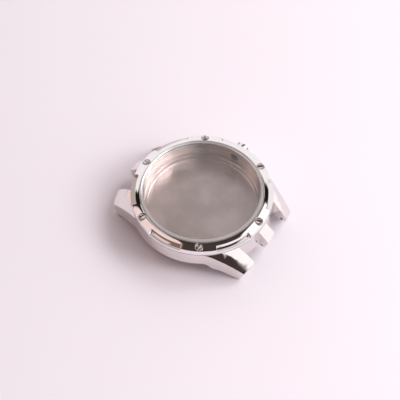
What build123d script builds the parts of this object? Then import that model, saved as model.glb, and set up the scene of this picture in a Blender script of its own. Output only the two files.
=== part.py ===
from build123d import *
from math import cos, radians, sin, tan
import os

# Empty watch case: mid-case with four lugs and two centre lugs, a notched bezel held
# by six screws, crystal, screw-in back and pull-out crown.
# Units are millimetres. Z = 0 is the plane where bezel and mid-case meet, on the
# case's axis. +X is the crown's side (3 o'clock), +Y is 12 o'clock.

# Fits and overruns
overrun = 2.0
seat_clearance = 0.02
running_clearance = 0.05
back_thread_clearance = 0.05

# Mid-case body, built out from the bore that takes the movement
cavity_radius = 18.7
cavity_depth = 4.1
case_wall = 3.25
case_radius = cavity_radius + case_wall
case_height = 6.82
side_band_height = 4.72
undercut_inset = 1.0
undercut_outset = 0.6
undercut_length_share = 0.8
top_edge_chamfer = 0.15

# Lugs: the tops are one dome turned about the case's axis
lug_root_drop = 0.28
lug_mid_reach = 2.65
lug_mid_drop = 2.72
lug_end_reach = 5.75
lug_end_drop = 6.85
lug_foot_depth = 10.3
lug_foot_reach = 4.5
lug_under_reach = 1.0
lug_under_mid_reach = 3.12
lug_under_mid_drop = 8.6
lug_root_angle = 35.4
lug_root_blend = 15.0
lug_corner_reach = 2.03
lug_corner_width = 4.19
lug_end_rise = 5.35
lug_end_lean = 20.0
lug_end_radius = 105.0
strap_root_half_width = 10.0
strap_side_angle = 7.4
strap_side_start = 2.25
arch_drop = 7.23
arch_half_width = 9.55
arch_leg_run = 3.6
arch_rise_start = 1.22
arch_rise_angle = 36.4

# Polished facets along the outer side of each lug: a broad bevel, and a strip
# between it and the lug's top
bevel_across_angle = 42.0
bevel_along_angle = 42.8
bevel_along_radius = 60.0
bevel_mid_back = 3.65
bevel_mid_drop = 2.97
bevel_half_length = 10.5
strip_across_angle = 39.0
strip_along_angle = 45.77
strip_along_radius = 55.3
strip_mid_back = 1.05
strip_mid_drop = 4.487
strip_half_length = 11.0

# Centre lugs
centre_lug_half_width = 2.05
centre_lug_reach = 3.25
centre_lug_drop = 3.7

# Spring-bar holes
bar_hole_radius = 0.45
bar_hole_depth = 1.3
bar_hole_reach = 1.0
bar_hole_drop = 6.4

# Bezel
bezel_overhang = 0.05
bezel_side_taper = 0.17
bezel_foot_radius = case_radius + bezel_overhang
bezel_edge_radius = bezel_foot_radius - bezel_side_taper
bezel_edge_height = 1.66
bezel_slope_angle = 17.3
bezel_lip_width = 0.35
bezel_lip_radius = cavity_radius - bezel_lip_width
bezel_lip_height = 0.98
bezel_bore_step = 0.32
bezel_bore_radius = cavity_radius + bezel_bore_step
bezel_inner_chamfer = 0.2
bezel_edge_chamfer = 0.16
notch_count = 6
notch_half_angle = 15.25
notch_floor_height = 0.87
notch_corner_radius = 0.45

# Bezel screws, half way across the bezel's slope
screw_circle_radius = (bezel_bore_radius + bezel_edge_radius) / 2
notch_wall_radius = screw_circle_radius
screw_head_radius = 1.17
screw_head_height = 0.95
screw_seat_height = 1.0
screw_shank_radius = 0.5
screw_length = 2.2
screw_slot_width = 0.3
screw_slot_depth = 0.35
screw_head_gap = 0.08

# Bezel gasket, in a groove of the mid-case's top
bezel_gasket_step = 0.4
bezel_gasket_inner_radius = cavity_radius + bezel_gasket_step
bezel_gasket_width = 0.5
bezel_gasket_height = 0.4

# Crystal, standing on the bezel's lip, and the seal round its edge
crystal_gasket_wall = 0.2
crystal_gasket_drop = 0.28
crystal_thickness = 1.7
crystal_radius = bezel_bore_radius - crystal_gasket_wall
crystal_bevel_width = 0.8
crystal_bevel_drop = 0.13

# Screw-in back
back_thread_step = 0.6
back_thread_radius = cavity_radius + back_thread_step
back_flange_width = 1.2
back_flange_radius = back_thread_radius + back_flange_width
back_flange_height = 0.98
back_ring_gap = 0.05
back_ring_overlap = 0.86
back_ring_radius = cavity_radius - back_ring_overlap
back_step_drop = 0.52
back_step_width = 0.85
back_floor_drop = 1.23
back_edge_chamfer = 0.3
back_slot_count = 6
back_slot_width = 3.0
back_slot_depth = 1.1
back_gasket_width = 0.5
back_gasket_height = 0.45
back_gasket_gap = 0.08

# Crown, its tube and seals
stem_drop = 2.5
tube_radius = 1.4
tube_bore_radius = 0.85
tube_neck_radius = 1.2
tube_neck_length = 2.0
pocket_depth = 0.65
pocket_half_width = 2.6
pocket_flat = case_radius - pocket_depth
tube_neck_end = pocket_flat + tube_neck_length
tube_inner_gap = 0.05
tube_inner_end = cavity_radius + tube_inner_gap
crown_radius = 2.25
crown_gap = 0.15
crown_length = 2.65
crown_start = pocket_flat + crown_gap
crown_end = crown_start + crown_length
crown_end_wall = 0.6
crown_outer_bevel = 0.4
crown_inner_bevel = 0.15
crown_socket_radius = 1.7
crown_groove_count = 8
crown_groove_half_width = 0.19
crown_groove_depth = 0.28
crown_groove_start_angle = 13.0
crown_washer_thickness = 0.25
crown_washer_inset = 0.1
crown_gasket_length = 0.5
crown_gasket_gap = 0.04
stem_post_gap = 1.5
stem_post_end = cavity_radius + stem_post_gap
stem_thread_radius = 0.45
stem_thread_depth = 2.2


def ring(inner_radius, outer_radius, low, high):
    """A plain ring about the case's axis, from height low to height high."""
    height = high - low
    place = Pos(0, 0, low + height / 2)
    tube = Cylinder(outer_radius, height)
    if inner_radius > 0:
        tube -= Cylinder(inner_radius, height)
    return place * tube


def turned(points):
    """A solid turned about the case's axis from (radius, height) points."""
    face = make_face(Polyline(*[(r, 0, z) for r, z in points], close=True))
    return revolve(face, Axis.Z, 360)


def lying_cylinder(radius, start, end, drop=stem_drop):
    """A cylinder along X at the stem's height, from x = start to x = end."""
    length = end - start
    return Pos(start + length / 2, 0, -drop) * Rot(0, 90, 0) * Cylinder(radius, length)


def four_ways(shape):
    """The shape at +X +Y, and its three mirror images."""
    right = [shape, mirror(shape, Plane.XZ)]
    return right + [mirror(piece, Plane.YZ) for piece in right]


def both_ends(shape):
    """The shape at the 12 o'clock end, and its mirror image at 6 o'clock."""
    return [shape, mirror(shape, Plane.XZ)]


def lug_side_x(y):
    """Where the outer side of a lug lies in plan at the given y."""
    root_x = case_radius * cos(radians(lug_root_angle))
    root_y = case_radius * sin(radians(lug_root_angle))
    corner_y = case_radius + lug_corner_reach
    corner_x = strap_side_x(corner_y) + lug_corner_width
    return root_x + (corner_x - root_x) * (y - root_y) / (corner_y - root_y)


def strap_side_x(y):
    """Where the strap's side of an outer lug lies in plan at the given y."""
    return strap_root_half_width - tan(radians(strap_side_angle)) * (y - case_radius + strap_side_start)


def case_plan():
    """Plan outline: the round case with both pairs of lugs blended into it."""
    reach = case_radius + lug_end_reach
    root = case_radius * sin(radians(lug_root_angle)) - lug_corner_reach
    points = [(-lug_side_x(root), root), (lug_side_x(root), root)]
    points += [(lug_side_x(reach), reach), (-lug_side_x(reach), reach)]
    lugs = make_face(Polyline(*points, close=True))
    outline = Circle(case_radius) + lugs + mirror(lugs, Plane.XZ)
    inside = case_radius + top_edge_chamfer
    corners = [v for v in outline.vertices() if (v.X ** 2 + v.Y ** 2) ** 0.5 < inside]
    return fillet(corners, lug_root_blend)


def case_profile():
    """Half section of the blank: flat top, domed lug tops, arched undersides."""
    dome_start = (case_radius, 0, -lug_root_drop)
    dome_mid = (case_radius + lug_mid_reach, 0, -lug_mid_drop)
    dome_end = (case_radius + lug_end_reach, 0, -lug_end_drop)
    foot_out = (case_radius + lug_end_reach, 0, -lug_foot_depth)
    foot_in = (case_radius + lug_foot_reach, 0, -lug_foot_depth)
    under_mid = (case_radius + lug_under_mid_reach, 0, -lug_under_mid_drop)
    under_start = (case_radius + lug_under_reach, 0, -case_height)
    top = Polyline(
        (0, 0, -case_height),
        (0, 0, 0),
        (case_radius - top_edge_chamfer, 0, 0),
        (case_radius, 0, -top_edge_chamfer),
        dome_start,
    )
    dome = ThreePointArc(dome_start, dome_mid, dome_end)
    foot = Polyline(dome_end, foot_out, foot_in)
    under = ThreePointArc(foot_in, under_mid, under_start)
    bottom = Line(under_start, (0, 0, -case_height))
    return make_face([*top.edges(), dome, *foot.edges(), under, bottom])


def undercut():
    """The bevel under the side bands, running out along the lugs' roots."""
    low = case_height + overrun
    grow = low - side_band_height
    depth = case_height - side_band_height
    slope_in = undercut_inset / depth
    slope_out = undercut_outset / depth
    groove = turned([
        (case_radius, -side_band_height),
        (case_radius + slope_out * grow, -low),
        (case_radius - slope_in * grow, -low),
    ])
    size = 2 * (case_radius + lug_end_reach)
    return groove & Box(size, 2 * undercut_length_share * case_radius, 2 * low)


def lug_facet(across_angle, along_angle, along_radius, mid_back, mid_drop, half_length):
    """What is cut off above one long facet of the lug at +X +Y.

    The facet is straight across the lug at across_angle, and bends along it: at
    mid_back inside the case's radius it slopes at along_angle and lies mid_drop down.
    It reaches half_length along the lug each way from there.
    """
    mid_y = case_radius - mid_back
    mid_z = tan(radians(across_angle)) * lug_side_x(mid_y) - mid_drop
    tilt = radians(along_angle)
    centre_y = mid_y - along_radius * sin(tilt)
    centre_z = mid_z - along_radius * cos(tilt)
    turn = half_length / along_radius
    spots = [
        (0, centre_y + along_radius * sin(angle), centre_z + along_radius * cos(angle))
        for angle in (tilt - turn, tilt, tilt + turn)
    ]
    crest = spots[0][2] + overrun
    arc = ThreePointArc(*spots)
    lid = Polyline(spots[2], (0, spots[2][1], crest), (0, spots[0][1], crest), spots[0])
    face = make_face([arc, *lid.edges()])
    way = (cos(radians(across_angle)), 0, -sin(radians(across_angle)))
    prism = extrude(face, 2 * case_radius, dir=way)
    return prism - Cylinder(case_radius, 2 * (case_height + case_radius))


def lug_facets():
    """Both long facets of the lug at +X +Y: the broad bevel and the strip."""
    bevel = lug_facet(
        bevel_across_angle,
        bevel_along_angle,
        bevel_along_radius,
        bevel_mid_back,
        bevel_mid_drop,
        bevel_half_length,
    )
    strip = lug_facet(
        strip_across_angle,
        strip_along_angle,
        strip_along_radius,
        strip_mid_back,
        strip_mid_drop,
        strip_half_length,
    )
    return [bevel, strip]


def lug_ends():
    """What is cut off beyond the leaning, slightly arched ends of the lugs."""
    apex = case_radius + lug_end_rise
    lean = tan(radians(lug_end_lean))
    width = 2 * case_radius
    disc = Pos(0, apex - lug_end_radius) * Circle(lug_end_radius)
    block = Pos(0, apex) * Rectangle(width, 2 * lug_end_rise)
    face = block - disc
    depth = lug_foot_depth + overrun
    return extrude(face, depth / cos(radians(lug_end_lean)), dir=(0, -lean, -1))


def strap_gap():
    """One strap gap at +X +Y, between the centre lug and an outer lug."""
    near = case_radius - strap_side_start - overrun
    far = case_radius + lug_end_reach + overrun
    points = [(centre_lug_half_width, near), (strap_side_x(near), near)]
    points += [(strap_side_x(far), far), (centre_lug_half_width, far)]
    outline = make_face(Polyline(*points, close=True)) - Circle(case_radius)
    depth = lug_foot_depth + overrun
    return Pos(0, 0, overrun) * extrude(outline, -(depth + overrun))


def lug_arch():
    """The arch under the 12 o'clock lugs, rising towards their tips."""
    depth = lug_foot_depth + overrun
    drop = depth - arch_drop
    half = arch_half_width
    leg = arch_leg_run * drop / (lug_foot_depth - arch_drop)
    start = (lug_corner_reach + case_radius) / 2
    bend = case_radius + arch_rise_start
    points = [(-half - leg, -depth), (-half, -arch_drop), (half, -arch_drop), (half + leg, -depth)]
    flat = make_face(Polyline(*[(x, start, z) for x, z in points], close=True))
    ramp = make_face(Polyline(*[(x, bend, z) for x, z in points], close=True))
    rise = radians(arch_rise_angle)
    run = case_radius
    level = extrude(flat, bend - start, dir=(0, 1, 0))
    return level + extrude(ramp, run, dir=(0, cos(rise), sin(rise)))


def centre_lug_end():
    """What is cut off beyond the leaning end of the 12 o'clock centre lug."""
    lean = radians(lug_end_lean)
    tip = case_radius + centre_lug_reach
    depth = lug_foot_depth + overrun
    run = depth - centre_lug_drop
    beyond = lug_end_rise + overrun
    points = [
        (tip + centre_lug_drop * tan(lean), 0),
        (tip + centre_lug_drop * tan(lean) + beyond, 0),
        (tip + beyond, -depth),
        (tip - run * tan(lean), -depth),
    ]
    face = make_face(Polyline(*[(0, y, z) for y, z in points], close=True))
    width = centre_lug_half_width + overrun
    return Pos(-width, 0, 0) * extrude(face, 2 * width, dir=(1, 0, 0))


def bar_holes():
    """Spring-bar holes at 12 o'clock: through the centre lug, blind in the outer lugs."""
    y = case_radius + bar_hole_reach
    reach = strap_side_x(y) + bar_hole_depth
    return Pos(0, y, -bar_hole_drop) * Rot(0, 90, 0) * Cylinder(bar_hole_radius, 2 * reach)


def back_bore():
    """Threaded bore for the back, with the rebate for its gasket."""
    bore = ring(0, back_thread_radius, -case_height - overrun, -cavity_depth)
    rebate_radius = back_thread_radius + back_gasket_width + 2 * back_gasket_gap
    rebate_low = -case_height - overrun
    return bore + ring(0, rebate_radius, rebate_low, -case_height + back_gasket_height)


def screw_places():
    """The six screw places, between the bezel's notches."""
    step = 360 / notch_count
    return [
        Rot(0, 0, step * (index + 1 / 2)) * Pos(screw_circle_radius, 0, 0)
        for index in range(notch_count)
    ]


def build_mid_case():
    plan = extrude(case_plan(), -lug_foot_depth - overrun)
    body = plan & revolve(case_profile(), Axis.Z, 360)
    body -= undercut()
    for facet in lug_facets():
        body -= four_ways(facet)
    body -= both_ends(lug_ends())
    body -= four_ways(strap_gap())
    body -= both_ends(lug_arch())
    body -= both_ends(centre_lug_end())
    body -= both_ends(bar_holes())
    body -= ring(0, cavity_radius, -case_height - overrun, overrun)
    body -= back_bore()
    groove_outer = bezel_gasket_inner_radius + bezel_gasket_width
    body -= ring(bezel_gasket_inner_radius, groove_outer, -bezel_gasket_height, overrun)
    hole_depth = screw_length - screw_seat_height + screw_slot_depth
    hole_radius = screw_shank_radius + seat_clearance
    hole = ring(0, hole_radius, -hole_depth, overrun)
    body -= [place * hole for place in screw_places()]
    body -= lying_cylinder(tube_radius, cavity_radius - overrun, case_radius)
    pocket = Box(overrun, 2 * pocket_half_width, 2 * case_height)
    body -= Pos(pocket_flat + overrun / 2, 0, 0) * pocket
    return body


def bezel_slope_height(radius):
    """Height of the bezel's sloping top at the given radius."""
    return bezel_edge_height + tan(radians(bezel_slope_angle)) * (bezel_edge_radius - radius)


def notch():
    """One rounded notch in the bezel's edge, centred at 3 o'clock."""
    outer = bezel_foot_radius + overrun
    half = radians(notch_half_angle)
    inner = notch_wall_radius
    start = (inner * cos(half), -inner * sin(half))
    end = (inner * cos(half), inner * sin(half))
    far_start = (outer * cos(half), -outer * sin(half))
    far_end = (outer * cos(half), outer * sin(half))
    wall = ThreePointArc(start, (inner, 0), end)
    rest = Polyline(end, far_end, far_start, start)
    face = make_face([wall, *rest.edges()])
    corners = [v for v in face.vertices() if abs(v.X - start[0]) < running_clearance]
    face = fillet(corners, notch_corner_radius)
    return Pos(0, 0, notch_floor_height) * extrude(face, bezel_edge_height + overrun)


def build_bezel():
    cone_radius = bezel_bore_radius + bezel_inner_chamfer
    edge_drop = bezel_edge_chamfer
    side_slope = (bezel_foot_radius - bezel_edge_radius) / bezel_edge_height
    body = turned([
        (bezel_lip_radius, 0),
        (bezel_foot_radius, 0),
        (bezel_edge_radius + side_slope * edge_drop, bezel_edge_height - edge_drop),
        (bezel_edge_radius - edge_drop, bezel_slope_height(bezel_edge_radius - edge_drop)),
        (cone_radius, bezel_slope_height(cone_radius)),
        (bezel_bore_radius, bezel_slope_height(cone_radius) - bezel_inner_chamfer),
        (bezel_bore_radius, bezel_lip_height),
        (bezel_lip_radius, bezel_lip_height),
    ])
    step = 360 / notch_count
    body -= [Rot(0, 0, step * index) * notch() for index in range(notch_count)]
    sink = ring(0, screw_head_radius + screw_head_gap, screw_seat_height, bezel_edge_height + overrun)
    through = ring(0, screw_shank_radius + screw_head_gap, -overrun, screw_seat_height)
    body -= [place * (sink + through) for place in screw_places()]
    return body


def build_bezel_screws():
    head_top = screw_seat_height + screw_head_height
    head = ring(0, screw_head_radius, screw_seat_height, head_top)
    slot = Box(2 * screw_head_radius + overrun, screw_slot_width, 2 * screw_slot_depth)
    shank = ring(0, screw_shank_radius, screw_seat_height - screw_length, screw_seat_height)
    screw = head + shank - Pos(0, 0, head_top) * slot
    return Compound(children=[place * screw for place in screw_places()])


def build_bezel_gasket():
    inner = bezel_gasket_inner_radius + seat_clearance
    outer = bezel_gasket_inner_radius + bezel_gasket_width - seat_clearance
    return ring(inner, outer, -bezel_gasket_height, 0)


def build_crystal():
    high = bezel_lip_height + crystal_thickness
    return turned([
        (0, bezel_lip_height),
        (crystal_radius, bezel_lip_height),
        (crystal_radius, high - crystal_bevel_drop),
        (crystal_radius - crystal_bevel_width, high),
        (0, high),
    ])


def build_crystal_gasket():
    top = bezel_lip_height + crystal_thickness - crystal_gasket_drop
    return ring(crystal_radius, bezel_bore_radius, bezel_lip_height, top)


def build_case_back():
    ring_top = -cavity_depth - back_ring_gap
    thread_radius = back_thread_radius - back_thread_clearance
    step_radius = back_ring_radius - back_step_width
    outside = -case_height - back_flange_height
    body = turned([
        (0, ring_top - back_floor_drop),
        (step_radius, ring_top - back_floor_drop),
        (step_radius, ring_top - back_step_drop),
        (back_ring_radius, ring_top - back_step_drop),
        (back_ring_radius, ring_top),
        (thread_radius, ring_top),
        (thread_radius, -case_height),
        (back_flange_radius, -case_height),
        (back_flange_radius, outside + back_edge_chamfer),
        (back_flange_radius - back_edge_chamfer, outside),
        (0, outside),
    ])
    slot = Box(2 * back_slot_depth, back_slot_width, 2 * back_flange_height)
    step = 360 / back_slot_count
    place = Pos(back_flange_radius, 0, outside - back_edge_chamfer)
    body -= [Rot(0, 0, step * index) * place * slot for index in range(back_slot_count)]
    return body


def build_case_back_gasket():
    inner = back_thread_radius + back_gasket_gap
    low = -case_height + seat_clearance
    return ring(inner, inner + back_gasket_width, low, -case_height + back_gasket_height)


def build_crown_tube():
    body = lying_cylinder(tube_radius, tube_inner_end, pocket_flat)
    body += lying_cylinder(tube_neck_radius, pocket_flat, tube_neck_end)
    return body - lying_cylinder(tube_bore_radius, tube_inner_end - overrun, tube_neck_end + overrun)


def crown_profile_solid():
    """The crown's turned blank, with bevels at both ends."""
    points = [
        (crown_start, 0),
        (crown_start, crown_radius - crown_inner_bevel),
        (crown_start + crown_inner_bevel, crown_radius),
        (crown_end - crown_outer_bevel, crown_radius),
        (crown_end, crown_radius - crown_outer_bevel),
        (crown_end, 0),
    ]
    face = make_face(Polyline(*[(x, r, 0) for x, r in points], close=True))
    return Pos(0, 0, -stem_drop) * revolve(face, Axis.X, 360)


def build_crown():
    body = crown_profile_solid()
    socket_end = crown_end - crown_end_wall
    body -= lying_cylinder(crown_socket_radius, crown_start - overrun, socket_end)
    body += lying_cylinder(tube_bore_radius - running_clearance, stem_post_end, socket_end)
    body -= lying_cylinder(stem_thread_radius, stem_post_end - overrun, stem_post_end + stem_thread_depth)
    length = crown_end - crown_start
    middle = Pos(crown_start + length / 2, 0, -stem_drop)
    groove = Box(length + overrun, 2 * crown_groove_half_width, 2 * crown_groove_depth)
    step = 360 / crown_groove_count
    turns = [crown_groove_start_angle + step * index for index in range(crown_groove_count)]
    body -= [middle * Rot(turn, 0, 0) * Pos(0, 0, crown_radius) * groove for turn in turns]
    return body


def build_crown_washer():
    start = crown_start + crown_washer_inset
    end = start + crown_washer_thickness
    inner = tube_neck_radius + running_clearance
    return lying_cylinder(crown_socket_radius, start, end) - lying_cylinder(inner, start, end)


def build_crown_gasket():
    start = crown_start + crown_washer_inset + crown_washer_thickness + crown_gasket_gap
    end = start + crown_gasket_length
    inner = tube_neck_radius + running_clearance
    outer = crown_socket_radius - running_clearance
    return lying_cylinder(outer, start, end) - lying_cylinder(inner, start, end)


builders = {
    "mid_case": build_mid_case,
    "bezel": build_bezel,
    "bezel_screws": build_bezel_screws,
    "bezel_gasket": build_bezel_gasket,
    "crystal": build_crystal,
    "crystal_gasket": build_crystal_gasket,
    "case_back": build_case_back,
    "case_back_gasket": build_case_back_gasket,
    "crown_tube": build_crown_tube,
    "crown": build_crown,
    "crown_washer": build_crown_washer,
    "crown_gasket": build_crown_gasket,
}

os.makedirs("parts", exist_ok=True)
for name, build in builders.items():
    export_step(build(), f"parts/{name}.step")
    print("wrote", name)
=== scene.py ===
# %% [markdown]
# # An empty watch case
#
# The object is a round stainless steel watch case with no movement, dial or strap. The
# pieces come from a CAD frame in their real places. This notebook dresses them: it gives
# every piece its finish, models again the pieces whose fine edges catch the light, and
# sets up the floor, the light and the camera.
#
# Lengths are written in millimetres and turned into metres where a mesh is made. The
# frame's Z = 0 is the plane between bezel and case, on the case's axis. +X points to
# 3 o'clock, where the crown is, and +Y to 12 o'clock.

# %% Load the frame
import math

import bmesh
import bpy
from mathutils import Matrix, Vector


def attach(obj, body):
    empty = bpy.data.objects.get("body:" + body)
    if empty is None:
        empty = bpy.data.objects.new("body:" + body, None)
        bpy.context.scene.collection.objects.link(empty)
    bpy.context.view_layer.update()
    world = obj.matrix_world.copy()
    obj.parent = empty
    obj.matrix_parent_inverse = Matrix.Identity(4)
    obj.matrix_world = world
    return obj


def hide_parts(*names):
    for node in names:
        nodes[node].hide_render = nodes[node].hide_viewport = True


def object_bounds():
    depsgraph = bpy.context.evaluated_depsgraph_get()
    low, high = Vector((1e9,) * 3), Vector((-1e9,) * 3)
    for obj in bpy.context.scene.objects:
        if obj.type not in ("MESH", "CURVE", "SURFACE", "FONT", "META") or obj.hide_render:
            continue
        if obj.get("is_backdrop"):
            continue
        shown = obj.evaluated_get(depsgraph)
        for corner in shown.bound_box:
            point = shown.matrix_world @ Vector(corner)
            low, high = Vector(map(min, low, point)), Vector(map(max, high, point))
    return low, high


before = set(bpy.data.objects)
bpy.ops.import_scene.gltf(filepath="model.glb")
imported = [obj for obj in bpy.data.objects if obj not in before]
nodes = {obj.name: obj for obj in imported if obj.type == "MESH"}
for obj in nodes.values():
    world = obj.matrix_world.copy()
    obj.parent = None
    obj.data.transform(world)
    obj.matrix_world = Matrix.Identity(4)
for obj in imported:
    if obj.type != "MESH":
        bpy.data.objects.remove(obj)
cad_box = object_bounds()
mm = 0.001
print("pieces in the frame:", sorted(nodes))

# %% [markdown]
# ## Camera
#
# The photograph is taken from about 0.54 m with a long lens, from above the 8 o'clock
# side. The camera could be placed by eye, but here its azimuth, elevation, distance and
# lens come from fitting the six screws and both edges of the bezel to the picture. It
# looks at the point of the axis level with the screws, and a small shift frames it.

# %% Place the camera
image_side = 400
focal_pixels = 1760.8
aim_pixel = (201.93, 191.30)
sensor_width = 36.0
camera_azimuth = math.radians(212.70)
camera_elevation = math.radians(54.98)
camera_distance = 539.4 * mm
look_height = 2.1 * mm

look_at = Vector((0, 0, look_height))
towards_camera = Vector((
    math.cos(camera_azimuth) * math.cos(camera_elevation),
    math.sin(camera_azimuth) * math.cos(camera_elevation),
    math.sin(camera_elevation),
))
camera_data = bpy.data.cameras.new("camera")
camera_data.sensor_width = sensor_width
camera_data.lens = focal_pixels * sensor_width / image_side
camera_data.shift_x = (image_side / 2 - aim_pixel[0]) / image_side
camera_data.shift_y = (aim_pixel[1] - image_side / 2) / image_side
camera = bpy.data.objects.new("camera", camera_data)
camera.location = look_at + camera_distance * towards_camera
camera.rotation_euler = towards_camera.to_track_quat("Z", "Y").to_euler()
bpy.context.scene.collection.objects.link(camera)
bpy.context.scene.camera = camera
bpy.context.scene.view_settings.view_transform = "Standard"
print("lens", round(camera_data.lens, 1), "mm")


# %% [markdown]
# ## Small helpers for node trees
#
# Every finish below is a node tree. Short helpers keep those trees readable: one adds a
# node with its settings and inputs, some do sums with numbers or vectors, one maps a value
# from one range to another, one blends two colours, and one starts a material.

# %% Helpers for sums in a node tree
def add(tree, kind, inputs=None, **settings):
    """A node of that kind; inputs maps a socket's name or number to a value or a socket."""
    node = tree.nodes.new(kind)
    for key, value in settings.items():
        setattr(node, key, value)
    for key, value in (inputs or {}).items():
        if isinstance(value, bpy.types.NodeSocket):
            tree.links.new(value, node.inputs[key])
        else:
            node.inputs[key].default_value = value
    return node


def maths(tree, operation, *values):
    """A Math node's result for the given values or sockets."""
    return add(tree, "ShaderNodeMath", dict(enumerate(values)), operation=operation).outputs[0]


def vector_maths(tree, operation, *values):
    """The number that a Vector Math node gives, such as a length or a dot product."""
    node = add(tree, "ShaderNodeVectorMath", dict(enumerate(values)), operation=operation)
    return node.outputs["Value"]


def combine(tree, x=0.0, y=0.0, z=0.0):
    """A vector from three values or sockets."""
    return add(tree, "ShaderNodeCombineXYZ", {0: x, 1: y, 2: z}).outputs[0]


def split(tree, vector):
    """The three parts of a vector."""
    return add(tree, "ShaderNodeSeparateXYZ", {0: vector}).outputs


# %% Helpers for colours and materials
def ramp(tree, value, low, high, start=0.0, end=1.0, smooth=True):
    """The value mapped from low..high to start..end, and held at both ends."""
    kind = "SMOOTHSTEP" if smooth else "LINEAR"
    inputs = {0: value, 1: low, 2: high, 3: start, 4: end}
    return add(tree, "ShaderNodeMapRange", inputs, interpolation_type=kind).outputs[0]


def mix_colour(tree, share, first, second):
    """A blend by a share from 0 to 1 of two colours, sockets or (red, green, blue)."""
    ends = [end if isinstance(end, bpy.types.NodeSocket) else (*end, 1) for end in (first, second)]
    return add(tree, "ShaderNodeMix", {0: share, 6: ends[0], 7: ends[1]}, data_type="RGBA").outputs[2]


def own_place(tree):
    """The spot on the piece, in the piece's own coordinates."""
    return add(tree, "ShaderNodeTexCoord").outputs["Object"]


def new_material(name):
    """An empty material with a Principled shader wired to its output."""
    material = bpy.data.materials.new(name)
    material.use_nodes = True
    tree = material.node_tree
    tree.nodes.clear()
    shader = add(tree, "ShaderNodeBsdfPrincipled")
    output = add(tree, "ShaderNodeOutputMaterial")
    tree.links.new(shader.outputs[0], output.inputs[0])
    return material, tree, shader


# %% [markdown]
# ## Turned grain
#
# Machined steel isn't a perfect mirror. A lathe leaves fine rings round the axis, and
# handling leaves soft cloudy patches. The lines could be an image, but noise that is long
# in one direction stays fine at any distance and needs no unwrapping. It is read in
# coordinates round the axis (angle, radius, height), made from Object coordinates, so it
# follows the case's shape. The effect is a group, because every steel below uses it with
# its own values.

# %% Grain round the axis
grain_inputs = {"Along": 30.0, "Across": 9000.0, "Patches": 160.0, "Seed": 0.0}


def make_grain_group():
    """Fine lines round the axis and soft patches, both as values about 0.5."""
    tree = bpy.data.node_groups.new("grain round the axis", "ShaderNodeTree")
    for name, value in grain_inputs.items():
        socket = tree.interface.new_socket(name, in_out="INPUT", socket_type="NodeSocketFloat")
        socket.default_value = value
    for name in ("Lines", "Cloud"):
        tree.interface.new_socket(name, in_out="OUTPUT", socket_type="NodeSocketFloat")
    given = add(tree, "NodeGroupInput").outputs
    place = own_place(tree)
    x, y, z = split(tree, place)
    radius = vector_maths(tree, "LENGTH", combine(tree, x, y))
    spot = combine(
        tree,
        maths(tree, "MULTIPLY", maths(tree, "ARCTAN2", y, x), given["Along"]),
        maths(tree, "MULTIPLY", radius, given["Across"]),
        maths(tree, "MULTIPLY", z, given["Across"]),
    )
    lines = add(tree, "ShaderNodeTexNoise", {
        "Vector": spot, "W": given["Seed"], "Scale": 1.0, "Detail": 3.0,
    }, noise_dimensions="4D")
    cloud = add(tree, "ShaderNodeTexNoise", {
        "Vector": place, "W": given["Seed"], "Scale": given["Patches"], "Detail": 3.0,
        "Roughness": 0.55,
    }, noise_dimensions="4D")
    add(tree, "NodeGroupOutput", {"Lines": lines.outputs[0], "Cloud": cloud.outputs[0]})
    return tree


grain_group = make_grain_group()
print("group made:", grain_group.name, "with inputs", ", ".join(grain_inputs))


# %% [markdown]
# ## Steel
#
# All the metal is one alloy, and what differs is its finish, apart from tones that stand in for light
# and shade. A steel material takes a light and a dark tone, a lowest and a highest roughness, and how
# strongly the grain shows. So the bezel and the side can be mirrors, and the inside softly turned, with
# a darker, pinkish tone that is painted shade of the cavity and a painted pink reflection. The parting
# line, the tube and the crown's grooves get a dark steel, which is painted shade, because little light
# gets into them. The tones follow the cloudy patches, as thin films and fingerprints do.

# %% Steel finishes
grain_low = 0.35
grain_high = 0.65
grain_height = 0.02 * mm


def steel(name, light, dark, smoothest, roughest, grain_depth, **grain_sizes):
    """A steel whose tone, roughness and surface follow the grain round the axis."""
    material, tree, shader = new_material(name)
    grain = add(tree, "ShaderNodeGroup", grain_sizes, node_tree=grain_group)
    lines, cloud = grain.outputs["Lines"], grain.outputs["Cloud"]
    tone = mix_colour(tree, ramp(tree, cloud, grain_low, grain_high), dark, light)
    blend = maths(tree, "MULTIPLY", maths(tree, "ADD", lines, cloud), 0.5)
    rough = ramp(tree, blend, grain_low, grain_high, smoothest, roughest)
    bump = add(tree, "ShaderNodeBump", {
        "Strength": grain_depth, "Distance": grain_height, "Height": lines,
    })
    shader.inputs["Metallic"].default_value = 1.0
    tree.links.new(tone, shader.inputs["Base Color"])
    tree.links.new(rough, shader.inputs["Roughness"])
    tree.links.new(bump.outputs[0], shader.inputs["Normal"])
    return material


polished_steel = steel("polished steel", (0.90, 0.88, 0.88), (0.86, 0.83, 0.83), 0.03, 0.07, 0.02)
side_steel = steel(
    "side steel", (0.85, 0.81, 0.795), (0.80, 0.76, 0.745), 0.03, 0.07, 0.004, Patches=90.0,
)
# Satin steel for the inside of the back: its roughness is the real satin finish, and its darker,
# pinkish tone is painted shade of the cavity and a painted pink reflection.
shaded_satin_steel = steel(
    "satin steel with painted shade", (0.68, 0.54, 0.535), (0.55, 0.44, 0.43), 0.30, 0.42, 0.20, Patches=140.0,
)
screw_steel = steel("screw steel", (0.80, 0.74, 0.73), (0.72, 0.66, 0.65), 0.12, 0.20, 0.02)
# Painted shade: a dark steel for the parting line, the tube and the crown's grooves, where little light
# gets in.
painted_shade_steel = steel("painted shade steel", (0.30, 0.24, 0.24), (0.16, 0.13, 0.13), 0.35, 0.55, 0.05)
print("steels made: polished, side, shaded satin, screw and painted shade")

# %% [markdown]
# ## Glass and seals
#
# The crystal is clear flat glass with a finely ground rim. A true glass shader keeps direct
# light out of what lies under it, so shadow rays see the clear glass as transparent, which
# is how a thin plate behaves. The seals are soft plastic: a pale, slightly cloudy one round
# the crystal, black ones where they don't show.

# %% Glass
glass_index = 1.5
noise_low = 0.3
noise_high = 0.7


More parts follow.
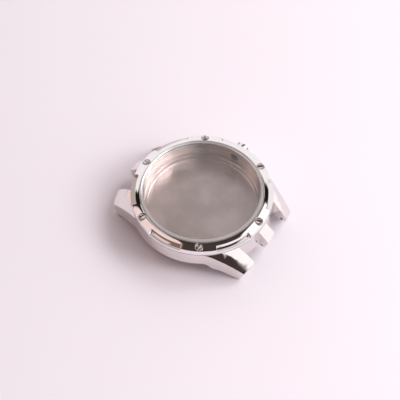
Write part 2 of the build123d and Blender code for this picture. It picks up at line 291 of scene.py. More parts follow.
def make_glass():
    """Clear glass that lets the lamps' light through."""
    material, tree, shader = new_material("crystal glass")
    shader.inputs["Base Color"].default_value = (0.96, 0.985, 0.975, 1)
    shader.inputs["Roughness"].default_value = 0.0
    shader.inputs["IOR"].default_value = glass_index
    shader.inputs["Transmission Weight"].default_value = 1.0
    clear = add(tree, "ShaderNodeBsdfTransparent", {0: (0.93, 0.95, 0.94, 1)})
    path = add(tree, "ShaderNodeLightPath").outputs["Is Shadow Ray"]
    mix = add(tree, "ShaderNodeMixShader", {0: path, 1: shader.outputs[0], 2: clear.outputs[0]})
    output = next(node for node in tree.nodes if node.type == "OUTPUT_MATERIAL")
    tree.links.new(mix.outputs[0], output.inputs[0])
    return material


def make_ground_glass():
    """Finely ground glass: the light goes through it, but scattered."""
    material, tree, shader = new_material("ground glass")
    speckle = add(tree, "ShaderNodeTexNoise", {
        "Vector": own_place(tree), "Scale": 6000.0, "Detail": 2.0,
    }).outputs[0]
    rough = ramp(tree, speckle, noise_low, noise_high, 0.30, 0.45)
    tree.links.new(rough, shader.inputs["Roughness"])
    shader.inputs["Base Color"].default_value = (0.90, 0.90, 0.90, 1)
    shader.inputs["IOR"].default_value = glass_index
    shader.inputs["Transmission Weight"].default_value = 0.8
    return material


crystal_glass = make_glass()
ground_glass = make_ground_glass()
print("glass made:", crystal_glass.name, "and", ground_glass.name)


# %% Seals
def make_seal(name, light, dark, smoothest, roughest):
    """Soft plastic or rubber with a faint mottle."""
    material, tree, shader = new_material(name)
    mottle = add(tree, "ShaderNodeTexNoise", {
        "Vector": own_place(tree), "Scale": 2500.0, "Detail": 3.0,
    }).outputs[0]
    tree.links.new(mix_colour(tree, mottle, dark, light), shader.inputs["Base Color"])
    rough = ramp(tree, mottle, noise_low, noise_high, smoothest, roughest)
    tree.links.new(rough, shader.inputs["Roughness"])
    return material


pale_seal = make_seal("pale seal", (0.34, 0.32, 0.32), (0.26, 0.24, 0.24), 0.30, 0.45)
black_seal = make_seal("black seal", (0.035, 0.034, 0.034), (0.02, 0.02, 0.02), 0.45, 0.65)
print("seals made:", pale_seal.name, "and", black_seal.name)


# %% [markdown]
# ## Small helpers for meshes
#
# A turned part starts as its half section, a list of (radius, height) points, and is spun round an
# axis. A milled part starts as an outline in plan and is pulled up. Both give closed meshes, so they
# can be cut with booleans, as a mill cuts the turned blank. The fine bevel that breaks an edge is a
# modifier, and weighted normals keep the broad faces next to it flat, so that they mirror one
# direction. The last helpers give a piece its finishes and the body that it moves with, and hide the
# CAD nodes that it stands for.

# %% Turned and pulled solids
same_point = 1e-6


def link(name, mesh):
    """A new object at the origin that shows the mesh."""
    thing = bpy.data.objects.new(name, mesh)
    bpy.context.scene.collection.objects.link(thing)
    return thing


def close_up(model, name):
    """The bmesh as an object in metres, welded and with its faces pointing outwards."""
    bmesh.ops.remove_doubles(model, verts=model.verts, dist=same_point)
    bmesh.ops.recalc_face_normals(model, faces=model.faces)
    bmesh.ops.scale(model, vec=(mm, mm, mm), verts=model.verts)
    mesh = bpy.data.meshes.new(name)
    model.to_mesh(mesh)
    model.free()
    return link(name, mesh)


def turned(name, points, steps):
    """A solid turned about Z from (radius, height) points, in millimetres."""
    model = bmesh.new()
    rings = []
    for index in range(steps):
        angle = math.tau * index / steps
        along, across = math.cos(angle), math.sin(angle)
        rings.append([model.verts.new((r * along, r * across, z)) for r, z in points])
    for index, here in enumerate(rings):
        there = rings[(index + 1) % steps]
        for k in range(len(points)):
            n = (k + 1) % len(points)
            model.faces.new((here[k], there[k], there[n], here[n]))
    return close_up(model, name)


def pulled(name, outline, levels):
    """A solid from an outline in plan and the heights of its two flat ends."""
    model = bmesh.new()
    low, high = [[model.verts.new((x, y, z)) for x, y in outline] for z in levels]
    model.faces.new(low)
    model.faces.new(high)
    for k in range(len(outline)):
        n = (k + 1) % len(outline)
        model.faces.new((low[k], low[n], high[n], high[k]))
    return close_up(model, name)


# %% Cuts and edges
edge_segments = 2
area_weight = 100


def bake(thing):
    """Turns the object's live modifiers into its mesh."""
    graph = bpy.context.evaluated_depsgraph_get()
    mesh = bpy.data.meshes.new_from_object(thing.evaluated_get(graph))
    thing.modifiers.clear()
    thing.data = mesh


def cut(body, tools):
    """Cuts each tool out of the body, and removes the tools."""
    for tool in tools:
        change = body.modifiers.new("cut", "BOOLEAN")
        change.object = tool
        change.operation = "DIFFERENCE"
        change.solver = "EXACT"
    bake(body)
    for tool in tools:
        bpy.data.objects.remove(tool)


def mark_creases(mesh, is_crease):
    """Makes every edge that is a crease sharp, however blunt its angle."""
    model = bmesh.new()
    model.from_mesh(mesh)
    for edge in model.edges:
        if len(edge.link_faces) == 2 and is_crease(edge):
            edge.smooth = False
    model.to_mesh(mesh)
    model.free()


def shade(thing, angle=32.0, is_crease=None):
    """Smooth shading in which a broad face keeps its own direction."""
    mesh = thing.data
    mesh.polygons.foreach_set("use_smooth", [True] * len(mesh.polygons))
    mesh.set_sharp_from_angle(angle=math.radians(angle))
    if is_crease:
        mark_creases(mesh, is_crease)
    change = thing.modifiers.new("shading", "WEIGHTED_NORMAL")
    change.mode = "FACE_AREA"
    change.weight = area_weight
    change.keep_sharp = True
    bake(thing)


def soften(thing, width, angle=30.0, is_crease=None):
    """Breaks the edges sharper than the angle by a fine bevel, and shades the rest smooth."""
    change = thing.modifiers.new("edges", "BEVEL")
    change.width = width * mm
    change.segments = edge_segments
    change.limit_method = "ANGLE"
    change.angle_limit = math.radians(angle)
    change.use_clamp_overlap = True
    bake(thing)
    shade(thing, is_crease=is_crease)


# %% Finishes and bodies
def mesh_box(thing):
    """The lowest and the highest corner of a mesh, in metres."""
    spots = [vert.co for vert in thing.data.vertices]
    return [[pick(spot[k] for spot in spots) for k in range(3)] for pick in (min, max)]


def finish_piece(thing, material, body, *stands_for):
    """Gives a piece its main finish and its body, and hides the CAD nodes that it stands for."""
    thing.data.materials.clear()
    thing.data.materials.append(material)
    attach(thing, body)
    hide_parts(*stands_for)
    low, high = [[round(value / mm, 2) for value in corner] for corner in mesh_box(thing)]
    print(thing.name, len(thing.data.polygons), "faces, from", low, "to", high)


def second_finish(thing, material, is_wanted):
    """Gives another finish to the faces that are wanted, by their centre and direction."""
    thing.data.materials.append(material)
    chosen = [face for face in thing.data.polygons if is_wanted(face.center / mm, face.normal)]
    for face in chosen:
        face.material_index = len(thing.data.materials) - 1
    print(thing.name, "has", len(chosen), "faces in", material.name)


# %% [markdown]
# ## Bezel
#
# The real bezel is a turned ring with a conical top, and a mill cuts six notches into its
# rim and a sink for each screw between them. Its polished cone mirrors the room, so its
# exact curve matters: near the crystal it rounds over, which makes dark slivers there.
# It is made here as it is in the workshop: turned from a half section, then cut with
# booleans. A bevel breaks the cut edges, because a bright line runs along each of them.
# The sizes repeat those of the CAD piece that it stands for.

# %% Draw the bezel's half section
bezel_foot_radius = 22.0
bezel_foot_break = 0.05
bezel_rim_radius = 21.83
bezel_rim_height = 1.66
bezel_rim_break = 0.14
bezel_rim_share = 0.3
bezel_rim_rise = 0.01
bezel_slope = math.radians(17.3)
bezel_bore_radius = 19.02
bezel_bore_break = 0.08
bezel_lip_radius = 18.35
bezel_lip_height = 0.98
bezel_round_start = 20.2
bezel_straight_end = bezel_round_start + 0.2
# Where the cone rounds over: each radius, and the slope in degrees on the way to it
bezel_rounding = [
    (19.85, 16.6), (19.5, 14.8), (19.25, 12.0), (19.14, 4.0), (19.06, -30.0), (19.03, -65.0),
]


def bezel_height(radius):
    """Height of the bezel's cone at a radius."""
    return bezel_rim_height + math.tan(bezel_slope) * (bezel_rim_radius - radius)


def bezel_section():
    """Half section of the blank, with a broken rim and a rounded inner edge."""
    lean = (bezel_foot_radius - bezel_rim_radius) / bezel_rim_height
    rim_top = bezel_rim_radius - bezel_rim_break
    points = [
        (bezel_lip_radius, 0.0),
        (bezel_foot_radius - bezel_foot_break, 0.0),
        (bezel_foot_radius, bezel_foot_break),
        (bezel_rim_radius + lean * bezel_rim_break, bezel_rim_height - bezel_rim_break),
        (bezel_rim_radius - bezel_rim_break * bezel_rim_share, bezel_rim_height + bezel_rim_rise),
        (rim_top, bezel_height(rim_top)),
        (bezel_straight_end, bezel_height(bezel_straight_end)),
        (bezel_round_start, bezel_height(bezel_round_start)),
    ]
    radius, height = points[-1]
    for next_radius, slope in bezel_rounding:
        height += (radius - next_radius) * math.tan(math.radians(slope))
        radius = next_radius
        points.append((radius, height))
    points.append((bezel_bore_radius, height - bezel_bore_break))
    points.append((bezel_bore_radius, bezel_lip_height))
    points.append((bezel_lip_radius, bezel_lip_height))
    return points


bezel_top = max(height for radius, height in bezel_section())
print("the bezel's section has", len(bezel_section()), "points, top at", round(bezel_top, 3))

# %% Turn the bezel's blank
bezel_steps = 720
bezel = turned("bezel_shell", bezel_section(), bezel_steps)
print("bezel blank:", len(bezel.data.polygons), "faces")

# %% Draw a notch in plan
notch_count = 6
notch_step = math.tau / notch_count
notch_floor = 0.87
notch_wall_radius = 20.42
notch_half_angle = math.radians(15.25)
notch_corner = 0.45
corner_steps = 6
wall_steps = 60
overrun = 1.0


def arc(centre, radius, start, end, steps):
    """Points along an arc in plan, from one angle to another."""
    x, y = centre
    angles = [start + (end - start) * k / steps for k in range(steps + 1)]
    return [(x + radius * math.cos(a), y + radius * math.sin(a)) for a in angles]


def notch_side(side):
    """One rounded corner of a notch, from the wall outwards, and its straight end."""
    middle = notch_wall_radius + notch_corner
    inset = math.asin(notch_corner / middle)
    aim = side * (notch_half_angle - inset)
    centre = (middle * math.cos(aim), middle * math.sin(aim))
    start = aim + math.pi
    corner = arc(centre, notch_corner, start, start - side * (math.pi / 2 - inset), corner_steps)
    outer, end_angle = bezel_foot_radius + overrun, side * notch_half_angle
    return corner + [(outer * math.cos(end_angle), outer * math.sin(end_angle))]


def notch_outline(turn):
    """Plan of one notch: the wall arc between two rounded corners and two straight ends."""
    half = notch_half_angle - math.asin(notch_corner / (notch_wall_radius + notch_corner))
    wall = arc((0.0, 0.0), notch_wall_radius, -half, half, wall_steps)
    points = notch_side(-1)[::-1] + wall[1:-1] + notch_side(1)
    return [tuple(Matrix.Rotation(turn, 2) @ Vector(point)) for point in points]


print("points round a notch:", len(notch_outline(0.0)))

# %% Cut the notches and the screw sinks
screw_circle = (bezel_bore_radius + bezel_rim_radius) / 2
screw_seat = 1.0
screw_sink_radius = 1.25
sink_steps = 64
cutter_top = 4.0
bezel_edge = 0.07

tools = []
for index in range(notch_count):
    tools.append(pulled("notch", notch_outline(notch_step * index), (notch_floor, cutter_top)))
for index in range(notch_count):
    angle = notch_step * (index + 0.5)
    centre = (screw_circle * math.cos(angle), screw_circle * math.sin(angle))
    sink = arc(centre, screw_sink_radius, 0.0, math.tau, sink_steps)[:-1]
    tools.append(pulled("sink", sink, (screw_seat, cutter_top)))
cut(bezel, tools)
soften(bezel, bezel_edge)
finish_piece(bezel, polished_steel, "case", "bezel")


# %% [markdown]
# ## Bezel screws
#
# Six equal screws hold the bezel. Each has a flat head with a broken edge and one slot,
# and stands upright in its sink, so its head mirrors another part of the room than the
# cone round it. Six could be modelled, but since they are equal, one screw is turned and
# slotted as the real one is, and copied later.

# %% Make one screw
screw_head_radius = 1.17
screw_head_top = 1.95
screw_head_chamfer = 0.1
screw_length = 2.2
screw_shank_radius = 0.5
screw_slot_width = 0.34
screw_slot_depth = 0.35
screw_edge = 0.05
slot_reach = 2.0
screw_steps = 96

one_screw = turned("one_screw", [
    (0.0, screw_seat - screw_length),
    (screw_shank_radius, screw_seat - screw_length),
    (screw_shank_radius, screw_seat),
    (screw_head_radius, screw_seat),
    (screw_head_radius, screw_head_top - screw_head_chamfer),
    (screw_head_radius - screw_head_chamfer, screw_head_top),
    (0.0, screw_head_top),
], screw_steps)
half_slot = screw_slot_width / 2
slot_plan = [
    (-slot_reach, -half_slot), (slot_reach, -half_slot),
    (slot_reach, half_slot), (-slot_reach, half_slot),
]
slot_levels = (screw_head_top - screw_slot_depth, screw_head_top + overrun)
cut(one_screw, [pulled("slot", slot_plan, slot_levels)])
soften(one_screw, screw_edge)
print("one screw:", len(one_screw.data.polygons), "faces")


# %% [markdown]
# ## Copies round an axis
#
# The screws and the crown's grooves both repeat round an axis. Each could be a loop in
# Python, but a Geometry Nodes tree keeps the count and the sizes as inputs that can be
# changed in one place. Both trees start alike, with points on a circle, and end alike, with
# real mesh in its finish, because instances would be lost when the case is exported.

# %% Helpers for Geometry Nodes
def new_mesh_tree(name, sizes):
    """A tree that takes a mesh, the named sizes and a finish, with the inputs' identifiers."""
    tree = bpy.data.node_groups.new(name, "GeometryNodeTree")
    keys = {}
    for label, kind in {"Mesh": "Geometry", **sizes, "Finish": "Material"}.items():
        kind = "NodeSocket" + kind
        keys[label] = tree.interface.new_socket(label, in_out="INPUT", socket_type=kind).identifier
    tree.interface.new_socket("Mesh", in_out="OUTPUT", socket_type="NodeSocketGeometry")
    return tree, keys, add(tree, "NodeGroupInput").outputs


def points_round(tree, count, radius, first_angle):
    """Points on a circle round Z, and the angle at which each of them stands."""
    circle = add(tree, "GeometryNodeMeshCircle", {"Vertices": count, "Radius": radius})
    places = add(tree, "GeometryNodeTransform", {
        "Geometry": circle.outputs[0], "Rotation": combine(tree, z=first_angle),
    })
    x, y = split(tree, add(tree, "GeometryNodeInputPosition").outputs[0])[:2]
    return places.outputs[0], maths(tree, "ARCTAN2", y, x)


def copies_on(tree, points, piece, angle):
    """A copy of the piece on every point, turned by the angle, as real mesh."""
    facing = add(tree, "FunctionNodeEulerToRotation", {0: combine(tree, z=angle)})
    copies = add(tree, "GeometryNodeInstanceOnPoints", {
        "Points": points, "Instance": piece, "Rotation": facing.outputs[0],
    })
    return add(tree, "GeometryNodeRealizeInstances", {0: copies.outputs[0]}).outputs[0]


def end_tree(tree, mesh, finish):
    """Sends the mesh out of the tree in its finish."""
    whole = add(tree, "GeometryNodeRealizeInstances", {0: mesh})
    dressed = add(tree, "GeometryNodeSetMaterial", {
        "Geometry": whole.outputs[0], "Material": finish,
    })
    add(tree, "NodeGroupOutput", {0: dressed.outputs[0]})


def grow(thing, tree, keys, **values):
    """Runs a Geometry Nodes tree on an object and keeps the result as its mesh."""
    change = thing.modifiers.new(tree.name, "NODES")
    change.node_group = tree
    for label, value in values.items():
        change[keys[label.replace("_", " ")]] = value
    bake(thing)


# %% [markdown]
# ## Screws round the bezel
#
# When the real screws are tight, each slot points another way, and no two catch the light
# alike. So the tree turns every copy by chance, within a spread and with a fixed seed. The
# count, the circle, the spread and the seed are its inputs.

# %% Set the screws round the bezel
def make_circle_tree():
    """Copies of the incoming mesh on a circle round Z, each turned by chance."""
    tree, keys, given = new_mesh_tree("screws round the bezel", {
        "Count": "Int", "Circle radius": "Float", "Turn spread": "Float", "Seed": "Int",
    })
    half_step = maths(tree, "DIVIDE", math.pi, given["Count"])
    points, outward = points_round(tree, given["Count"], given["Circle radius"], half_step)
    least = maths(tree, "MULTIPLY", given["Turn spread"], -1.0)
    loose = add(tree, "FunctionNodeRandomValue", {
        2: least, 3: given["Turn spread"], "Seed": given["Seed"],
    }, data_type="FLOAT")
    turn = maths(tree, "ADD", outward, loose.outputs[1])
    end_tree(tree, copies_on(tree, points, given["Mesh"], turn), given["Finish"])
    return tree, keys


screw_turn_spread = 0.5
screw_seed = 4

circle_tree, circle_keys = make_circle_tree()
one_screw.name = "screw_set"
grow(
    one_screw, circle_tree, circle_keys, Count=notch_count, Circle_radius=screw_circle * mm,
    Turn_spread=screw_turn_spread, Seed=screw_seed, Finish=screw_steel,
)
shade(one_screw, angle=30.0)
finish_piece(one_screw, screw_steel, "case", "bezel_screws")


# %% [markdown]
# ## Crown
#
# The crown is a small turned drum with eight grooves for the fingers. It is hollow behind,
# where it runs over the tube. The blank is turned, then a Geometry Nodes tree cuts the
# grooves: it sets a groove-sized bar on a ring of points and takes the bars away from
# the drum. The count, the depth and the first groove's angle are its inputs. The drum is
# turned about Z first, and laid down along X, in its real place, once it is finished.

# %% Turn the crown's blank
stem_height = -2.5
crown_start = 21.45
crown_end = 24.1
crown_radius = 2.25
crown_back_break = 0.15
crown_face_break = 0.4
crown_round_near = 0.06
crown_round_far = 0.22
crown_socket_radius = 1.7
crown_socket_end = 23.5
crown_post_radius = 0.8
crown_post_start = 20.2
stem_bore_radius = 0.45
stem_bore_end = 22.4
crown_steps = 128

crown = turned("crown_drum", [
    (stem_bore_radius, crown_post_start),
    (crown_post_radius, crown_post_start),
    (crown_post_radius, crown_socket_end),
    (crown_socket_radius, crown_socket_end),
    (crown_socket_radius, crown_start),
    (crown_radius - crown_back_break, crown_start),
    (crown_radius, crown_start + crown_back_break),
    (crown_radius, crown_end - crown_face_break),
    (crown_radius - crown_round_near, crown_end - crown_round_far),
    (crown_radius - crown_round_far, crown_end - crown_round_near),
    (crown_radius - crown_face_break, crown_end),
    (0.0, crown_end),
    (0.0, stem_bore_end),
    (stem_bore_radius, stem_bore_end),
], crown_steps)
print("crown blank:", len(crown.data.polygons), "faces")


# %% Make the tree that cuts grooves
bar_length = 100.0


def make_groove_tree():
    """Takes bars, set round Z, away from the incoming drum."""
    tree, keys, given = new_mesh_tree("grooves round the crown", {
        "Count": "Int", "Drum radius": "Float", "Groove width": "Float",
        "Groove depth": "Float", "First angle": "Float",
    })
    points, outward = points_round(
        tree, given["Count"], given["Drum radius"], given["First angle"],
    )
    bar_depth = maths(tree, "MULTIPLY", given["Groove depth"], 2.0)
    bar_size = combine(tree, bar_depth, given["Groove width"], bar_length * mm)
    bar = add(tree, "GeometryNodeMeshCube", {"Size": bar_size})
    bars = copies_on(tree, points, bar.outputs["Mesh"], outward)
    milled = add(tree, "GeometryNodeMeshBoolean", operation="DIFFERENCE", solver="EXACT")
    tree.links.new(given["Mesh"], milled.inputs["Mesh 1"])
    tree.links.new(bars, milled.inputs["Mesh 2"])
    end_tree(tree, milled.outputs["Mesh"], given["Finish"])
    return tree, keys


groove_tree, groove_keys = make_groove_tree()
print("inputs of the groove tree:", ", ".join(groove_keys))

# %% Cut the crown's grooves
groove_count = 8
groove_width = 0.38
groove_depth = 0.28
first_groove = math.radians(13.0)
crown_edge = 0.05
surface_margin = 0.08
socket_margin = 0.1
groove_lean = 0.3

grow(
    crown, groove_tree, groove_keys, Count=groove_count, Drum_radius=crown_radius * mm,
    Groove_width=groove_width * mm, Groove_depth=groove_depth * mm, First_angle=first_groove,
    Finish=polished_steel,
)
soften(crown, crown_edge)
lift = Matrix.Translation((0, 0, stem_height * mm))
crown.data.transform(lift @ Matrix.Rotation(math.pi / 2, 4, "Y"))
finish_piece(crown, polished_steel, "crown", "crown")


def is_groove(spot, way):
    """Whether a face lies in a groove: below the drum's surface, and not on an end."""
    depth = crown_radius - math.hypot(spot.y, spot.z - stem_height)
    deepest = crown_radius - crown_socket_radius - socket_margin
    return surface_margin < depth < deepest and abs(way.x) < groove_lean


# The grooves get painted shade, a dark steel, because little light gets into them.
second_finish(crown, painted_shade_steel, is_groove)


# %% [markdown]
# ## Mid-case
#
# The mid-case is milled from one block: a band with two lugs and a centre lug at each end.
# Its CAD shape is kept. What the CAD leaves out is the fine break along every edge, about a
# tenth of a millimetre, which catches the light and outlines the lugs. It could be painted
# with a material, but then it would catch no light of its own. So a copy of the CAD mesh is
# welded, flat areas are joined to one face, and a bevel breaks the edges, more widely at the
# lugs' ends and under the bezel, where the parting line is.

# %% Helpers for the CAD copies
weld_distance = 0.002
flat_angle = math.radians(0.3)
sharp_angle = 24.0


def broaden(model, width, segments, is_wanted):
    """Bevels the sharp edges whose two ends are wanted by more than the rest get."""
    sharp = [
        edge for edge in model.edges
        if len(edge.link_faces) == 2 and edge.calc_face_angle() > math.radians(sharp_angle)
        and all(is_wanted(vert.co / mm) for vert in edge.verts)
    ]
    bmesh.ops.bevel(
        model, geom=sharp, offset=width * mm, segments=segments, profile=0.5, affect="EDGES",
        clamp_overlap=True,
    )
    print("broadened", len(sharp), "edges")


def softened_copy(node, name, width, wide=(), is_crease=None):
    """A welded copy of a CAD node's mesh with broken edges, some of them wider."""
    model = bmesh.new()
    model.from_mesh(nodes[node].data)
    bmesh.ops.remove_doubles(model, verts=model.verts, dist=weld_distance * mm)
    bmesh.ops.dissolve_limit(
        model, angle_limit=flat_angle, use_dissolve_boundaries=False, verts=model.verts,
        edges=model.edges,
    )
    for amount, segments, is_wanted in wide:
        broaden(model, amount, segments, is_wanted)
    mesh = bpy.data.meshes.new(name)
    model.to_mesh(mesh)
    model.free()
    thing = link(name, mesh)
    soften(thing, width, sharp_angle, is_crease)
    return thing


# %% Pick the mid-case's edges
cavity_radius = 18.7
rim_start = cavity_radius + 1.0
rim_depth = 0.2
case_radius = 21.95
lug_start_radius = case_radius + 0.1
lug_start_side = 16.0
lug_foot_top = -8.0
lug_end_side = 22.0
lug_end_radius = 26.2
crease_angle = math.radians(2.5)
outward_share = 0.6


def is_top_rim(spot):
    """Whether a corner is on the outer edge of the band's top, under the bezel."""
    return spot.z > -rim_depth and spot.xy.length > rim_start


def is_lug_end(spot):
    """Whether a corner is at the outer end of a lug."""
    return abs(spot.y) > lug_end_side and spot.xy.length > lug_end_radius


def runs_along_lug(edge):
    """Whether the edge runs outwards along a lug, between two of its polished facets."""
    start, end = [vert.co / mm for vert in edge.verts]
    middle = (start + end) / 2
    is_outside = abs(middle.y) > lug_start_side and middle.xy.length > lug_start_radius
    outward = Vector((middle.x, middle.y, 0)).normalized()
    is_outward = abs((end - start).normalized().dot(outward)) > outward_share
    is_bent = edge.calc_face_angle() > crease_angle
    return is_outside and middle.z > lug_foot_top and is_bent and is_outward


print("lug ends start at", lug_end_radius, "mm from the axis")

# %% Dress the mid-case
case_edge = 0.08
parting_line_width = 0.2
lug_end_width = 0.22
slope_bottom = -0.35
slope_top = -0.01
slope_tilt = (0.3, 0.98)


def is_parting_line(spot, way):
    """Whether a face is on the slope under the bezel's rim."""
    is_under_rim = slope_bottom < spot.z < slope_top and spot.xy.length > rim_start
    return is_under_rim and slope_tilt[0] < way.z < slope_tilt[1]


mid_case = softened_copy("mid_case", "mid_case_shell", case_edge, [
    (parting_line_width, 1, is_top_rim), (lug_end_width, 3, is_lug_end),
], runs_along_lug)
finish_piece(mid_case, side_steel, "case", "mid_case")
# The slope under the bezel's rim gets painted shade, a dark steel, along the parting line.
second_finish(mid_case, painted_shade_steel, is_parting_line)

# %% [markdown]
# ## Back
#
# The back is a turned plate that screws into the band from below. Seen through the crystal,
# its ring makes the two low steps round the floor. The floor is softly turned and the walls
# of the steps are smoother. Two pieces would be wrong, as the real back is one, so the copy
# of its CAD mesh gets two finishes, by the direction of its faces.

# %% Dress the back
back_edge = 0.06
back_inside_low = -6.0
back_inside_radius = cavity_radius + 0.2
flat_share = 0.97


def is_wall(spot, way):
    """Whether a face is on a wall or an edge of the inside, and not on its flats."""
    is_inside = spot.xy.length < back_inside_radius and spot.z > back_inside_low
    return is_inside and way.z < flat_share


back = softened_copy("case_back", "back_plate", back_edge)
# The floor inside gets the darker, pinkish satin tone: painted shade of the cavity and a painted pink
# reflection.
finish_piece(back, shaded_satin_steel, "back", "case_back")
second_finish(back, side_steel, is_wall)

# %% [markdown]
# ## Crystal and its seal
#
# The crystal is a flat disc with a ground bevel and a ground edge, which show as a pale
# matt ring, and a soft seal holds it in the bezel. The CAD's disc could be used as it is,
# but it has one finish and touches the seal. So both are turned again here, with a second
# finish for the ground band and a hair of space between glass and seal.

# %% Turn the crystal
crystal_radius = 18.80
crystal_bottom = bezel_lip_height + 0.01
crystal_top = 2.68
crystal_edge = 0.05
crystal_bevel_width = 0.8
crystal_bevel_drop = 0.13
flat_radius = crystal_radius - crystal_bevel_width
side_top = crystal_top - crystal_bevel_drop
ground_start = bezel_lip_height + 0.03
crystal_steps = 360


def is_ground(spot, way):
    """Whether a face is on the crystal's bevel or its side."""
    return spot.xy.length > flat_radius and spot.z > ground_start


crystal = turned("crystal_disc", [
    (0.0, crystal_bottom),
    (flat_radius, crystal_bottom),
    (crystal_radius - crystal_edge, crystal_bottom),
    (crystal_radius, crystal_bottom + crystal_edge),
    (crystal_radius, side_top - crystal_edge),
    (crystal_radius - crystal_edge, side_top),
    (flat_radius, crystal_top),
    (0.0, crystal_top),
], crystal_steps)
shade(crystal, angle=5.0)
finish_piece(crystal, crystal_glass, "case", "crystal")
second_finish(crystal, ground_glass, is_ground)

# %% Turn the crystal's seal
seal_inner_radius = crystal_radius + 0.02
seal_top = 2.36
seal_edge = 0.04

seal = turned("crystal_seal", [
    (seal_inner_radius, bezel_lip_height),
    (bezel_bore_radius, bezel_lip_height),
    (bezel_bore_radius, seal_top - seal_edge),
    (bezel_bore_radius - seal_edge, seal_top),
    (seal_inner_radius + seal_edge, seal_top),
    (seal_inner_radius, seal_top - seal_edge),
], crystal_steps)
shade(seal, angle=30.0)
finish_piece(seal, pale_seal, "case", "crystal_gasket")

# %% [markdown]
# ## Pieces that stay as they are
#
# The other seals, the tube and the washer are plain turned rings. Their CAD meshes
# are right as they stand, so they only get their finishes.

# %% Dress the other pieces
finishes = {
    "bezel_gasket": black_seal,
    "case_back_gasket": black_seal,
    # The tube under the crown gets painted shade, a dark steel.
    "crown_tube": painted_shade_steel,
    "crown_washer": polished_steel,
    "crown_gasket": black_seal,
}
for name, material in finishes.items():
    for slot in nodes[name].material_slots:
        slot.material = material
print("dressed:", ", ".join(finishes))

# %% [markdown]
# ## Floor
#
# The case stands on a pale sheet that runs out of the picture on all sides. It is a little brighter on
# the side that the light comes from. More light would wash out the steel, so that fall of light is
# painted into the sheet's colour instead, as a grade across it: painted shade on the side away from the
# lamps.

# %% Lay the floor
floor_height = cad_box[0].z
floor_half = 1.5
floor_colour = (0.98, 0.93, 0.995)
floor_dim_share = 0.90
bright_way = (0.54, -0.8415, 0.0)
grade_half = 70.0 * mm


def make_floor():
    """A square sheet under the case, dimmer on the side away from the light."""
    mesh = bpy.data.meshes.new("floor")
    corners = [(-1, -1), (1, -1), (1, 1), (-1, 1)]
    spots = [(x * floor_half, y * floor_half, floor_height) for x, y in corners]
    mesh.from_pydata(spots, [], [(0, 1, 2, 3)])
    floor = link("floor", mesh)
    material, tree, shader = new_material("pale sheet")
    across = vector_maths(tree, "DOT_PRODUCT", own_place(tree), bright_way)
    share = ramp(tree, across, -grade_half, grade_half, smooth=False)
    # The dimmer colour is painted shade on the side away from the lamps.
    dim_colour = [value * floor_dim_share for value in floor_colour]
    tree.links.new(mix_colour(tree, share, dim_colour, floor_colour), shader.inputs["Base Color"])
    shader.inputs["Roughness"].default_value = 0.9
    shader.inputs["Specular IOR Level"].default_value = 0.1
    mesh.materials.append(material)
    floor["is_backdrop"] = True


make_floor()
print("floor at", round(floor_height / mm, 2), "mm")


# %% [markdown]
# ## Surroundings
#
# Polished steel shows its surroundings more than its own colour, so these matter most. The
# case was photographed in a small tent of pale cloth with a dark slit over it, where the
# camera looks in. Read from what the bezel and the lugs mirror, the slit runs over the top
# from the far wall to the camera, a dark bar and post stand at each far corner, the near
# left wall is brown, and a dark curtain hangs beside the camera. Cards and cloths could be
# modelled round the case, but one world is lighter and fits every view. Each thing in it is
# an area with limits in one or two angles, and its edges are nearly sharp.

# %% Angles across the tent
far_azimuth = math.radians(33.0)
curtain_slope = 1.13


def degrees(tree, operation, *values):
    """An inverse function's result in degrees."""
    return maths(tree, "DEGREES", maths(tree, operation, *values))


def tent_angles(tree):
    """Where a direction points, as angles in degrees counted from the far wall or its top."""
    way = add(tree, "ShaderNodeTexCoord").outputs["Generated"]
    along, aside = math.cos(far_azimuth), math.sin(far_azimuth)
    ahead = vector_maths(tree, "DOT_PRODUCT", way, (along, aside, 0))
    left = vector_maths(tree, "DOT_PRODUCT", way, (-aside, along, 0))
    height = split(tree, way)[2]
    right, behind = [maths(tree, "MULTIPLY", value, -1.0) for value in (left, ahead)]
    rise = degrees(tree, "ARCSINE", height)
    back_turn = degrees(tree, "ARCTAN2", right, behind)
    return {
        "rise": rise,
        "turn": degrees(tree, "ARCTAN2", left, ahead),
        "back_turn": back_turn,
        "over_left": degrees(tree, "ARCTAN2", left, height),
        "over_ahead": degrees(tree, "ARCTAN2", ahead, height),
        "slant": maths(tree, "ADD", back_turn, maths(tree, "MULTIPLY", rise, curtain_slope)),
    }


# %% What is in the tent
no_limit = 400.0
# Each area gives, for an angle, where it starts and ends and how soft its edges are
left_wall = dict(turn=(45.0, 150.0, 6.0))
near_left_wall = dict(turn=(88.0, 185.0, 8.0))
right_wall = dict(turn=(-112.0, -42.0, 6.0))
near_right_wall = dict(turn=(-152.0, -108.0, 6.0), rise=(-no_limit, 43.0, 10.0))
far_corner = dict(turn=(1.0, 20.0, 5.0), rise=(51.0, 70.0, 3.0))
curtain_edge = dict(back_turn=(-18.0, no_limit, 2.0), slant=(-no_limit, 46.75, 4.5))
near_curtain = dict(back_turn=(-18.0, no_limit, 2.0), slant=(-no_limit, 44.0, 1.4))
slit = dict(over_left=(-20.0, 10.3, 1.5), over_ahead=(-14.0, 32.5, 5.0))
near_slit = dict(over_left=(-13.0, 10.3, 1.5), over_ahead=(-no_limit, -12.0, 4.0))
left_bar = dict(over_left=(9.0, 50.0, 3.0), over_ahead=(31.0, 38.8, 1.2))
right_bar = dict(over_left=(-50.0, -7.0, 3.0), over_ahead=(31.8, 43.0, 1.5))
left_post = dict(turn=(38.5, 49.6, 1.0), rise=(41.0, 85.0, 2.0))
right_post = dict(turn=(-43.5, -34.0, 1.5), rise=(39.0, 85.0, 3.0))

cloth_colour = (1.0, 0.965, 0.975)
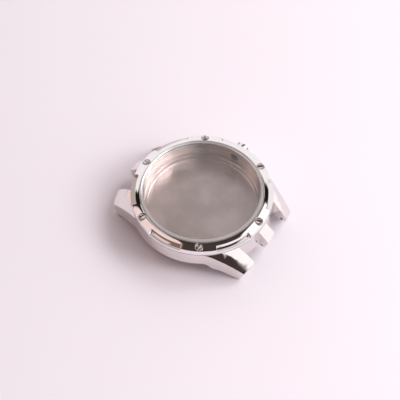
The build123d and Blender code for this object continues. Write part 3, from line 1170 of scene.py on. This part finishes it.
# What is painted over the pale cloth, in this order: each colour and its areas
tent = [
    ((0.98, 0.76, 0.72), [left_wall]),
    ((0.27, 0.18, 0.16), [near_left_wall]),
    ((1.25, 1.20, 1.22), [right_wall, near_right_wall]),
    ((0.50, 0.41, 0.37), [far_corner]),
    ((0.36, 0.32, 0.33), [curtain_edge]),
    ((0.060, 0.042, 0.038), [slit, near_slit, near_curtain]),
    ((0.014, 0.009, 0.009), [left_bar, left_post, right_bar, right_post]),
]
print("areas in the tent:", sum(len(areas) for colour, areas in tent))


# %% Build the tent
def window(tree, value, low, high, soft):
    """1 inside low..high, 0 outside, with edges soft wide."""
    start = ramp(tree, value, low - soft / 2, low + soft / 2)
    end = ramp(tree, value, high - soft / 2, high + soft / 2, 1.0, 0.0)
    return maths(tree, "MULTIPLY", start, end)


def inside_any(tree, angles, areas):
    """1 inside any of the areas, and 0 outside them all."""
    share = 0.0
    for area in areas:
        here = 1.0
        for name, limits in area.items():
            here = maths(tree, "MULTIPLY", here, window(tree, angles[name], *limits))
        share = maths(tree, "MAXIMUM", share, here)
    return share


def make_world():
    """A world that is pale cloth with the tent's areas painted over it."""
    world = bpy.data.worlds.new("light tent")
    bpy.context.scene.world = world
    world.use_nodes = True
    tree = world.node_tree
    tree.nodes.clear()
    angles = tent_angles(tree)
    colour = cloth_colour
    for paint, areas in tent:
        colour = mix_colour(tree, inside_any(tree, angles, areas), colour, paint)
    sky = add(tree, "ShaderNodeBackground", {0: colour, 1: 1.0})
    output = add(tree, "ShaderNodeOutputWorld")
    tree.links.new(sky.outputs[0], output.inputs[0])
    print("world:", world.name, "with", len(tree.nodes), "nodes")


make_world()


# %% [markdown]
# ## Lamps
#
# The case's soft shadow falls to the left and a little towards the camera, so the light
# comes from the right and a little from behind. One lamp gives too hard a shadow, and two
# in different directions widen it as a window does. The polished cone doesn't mirror the
# lamps, because a square of light would show on it, where the photograph has none.

# %% Hang the lamps
lamp_distance = 1.2
lamp_side = 0.5
lamp_colour = (1.0, 0.99, 1.0)


def add_lamp(name, azimuth, elevation, power):
    """A square lamp that lights the case but isn't mirrored in it."""
    lamp = bpy.data.lights.new(name, "AREA")
    lamp.size = lamp_side
    lamp.energy = power
    lamp.color = lamp_colour
    thing = bpy.data.objects.new(name, lamp)
    turn, rise = math.radians(azimuth), math.radians(elevation)
    way = Vector((math.cos(turn) * math.cos(rise), math.sin(turn) * math.cos(rise), math.sin(rise)))
    thing.location = lamp_distance * way
    thing.rotation_euler = way.to_track_quat("Z", "Y").to_euler()
    thing.visible_glossy = False
    bpy.context.scene.collection.objects.link(thing)
    print(name, "at azimuth", azimuth, "and elevation", elevation, "with", power, "W")


add_lamp("key lamp", 290, 38, 5.4)
add_lamp("window light", 335, 45, 3.9)

# %% [markdown]
# ## Measure and finish
#
# The dressed case has to fill the same box as the CAD frame, so both boxes are printed.

# %% Finish
visual_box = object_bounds()
sizes = {"cad": [list(corner) for corner in cad_box], "visual": [list(corner) for corner in visual_box]}
for key, box in sizes.items():
    print(key, "box in mm:", [[round(value / mm, 2) for value in corner] for corner in box])
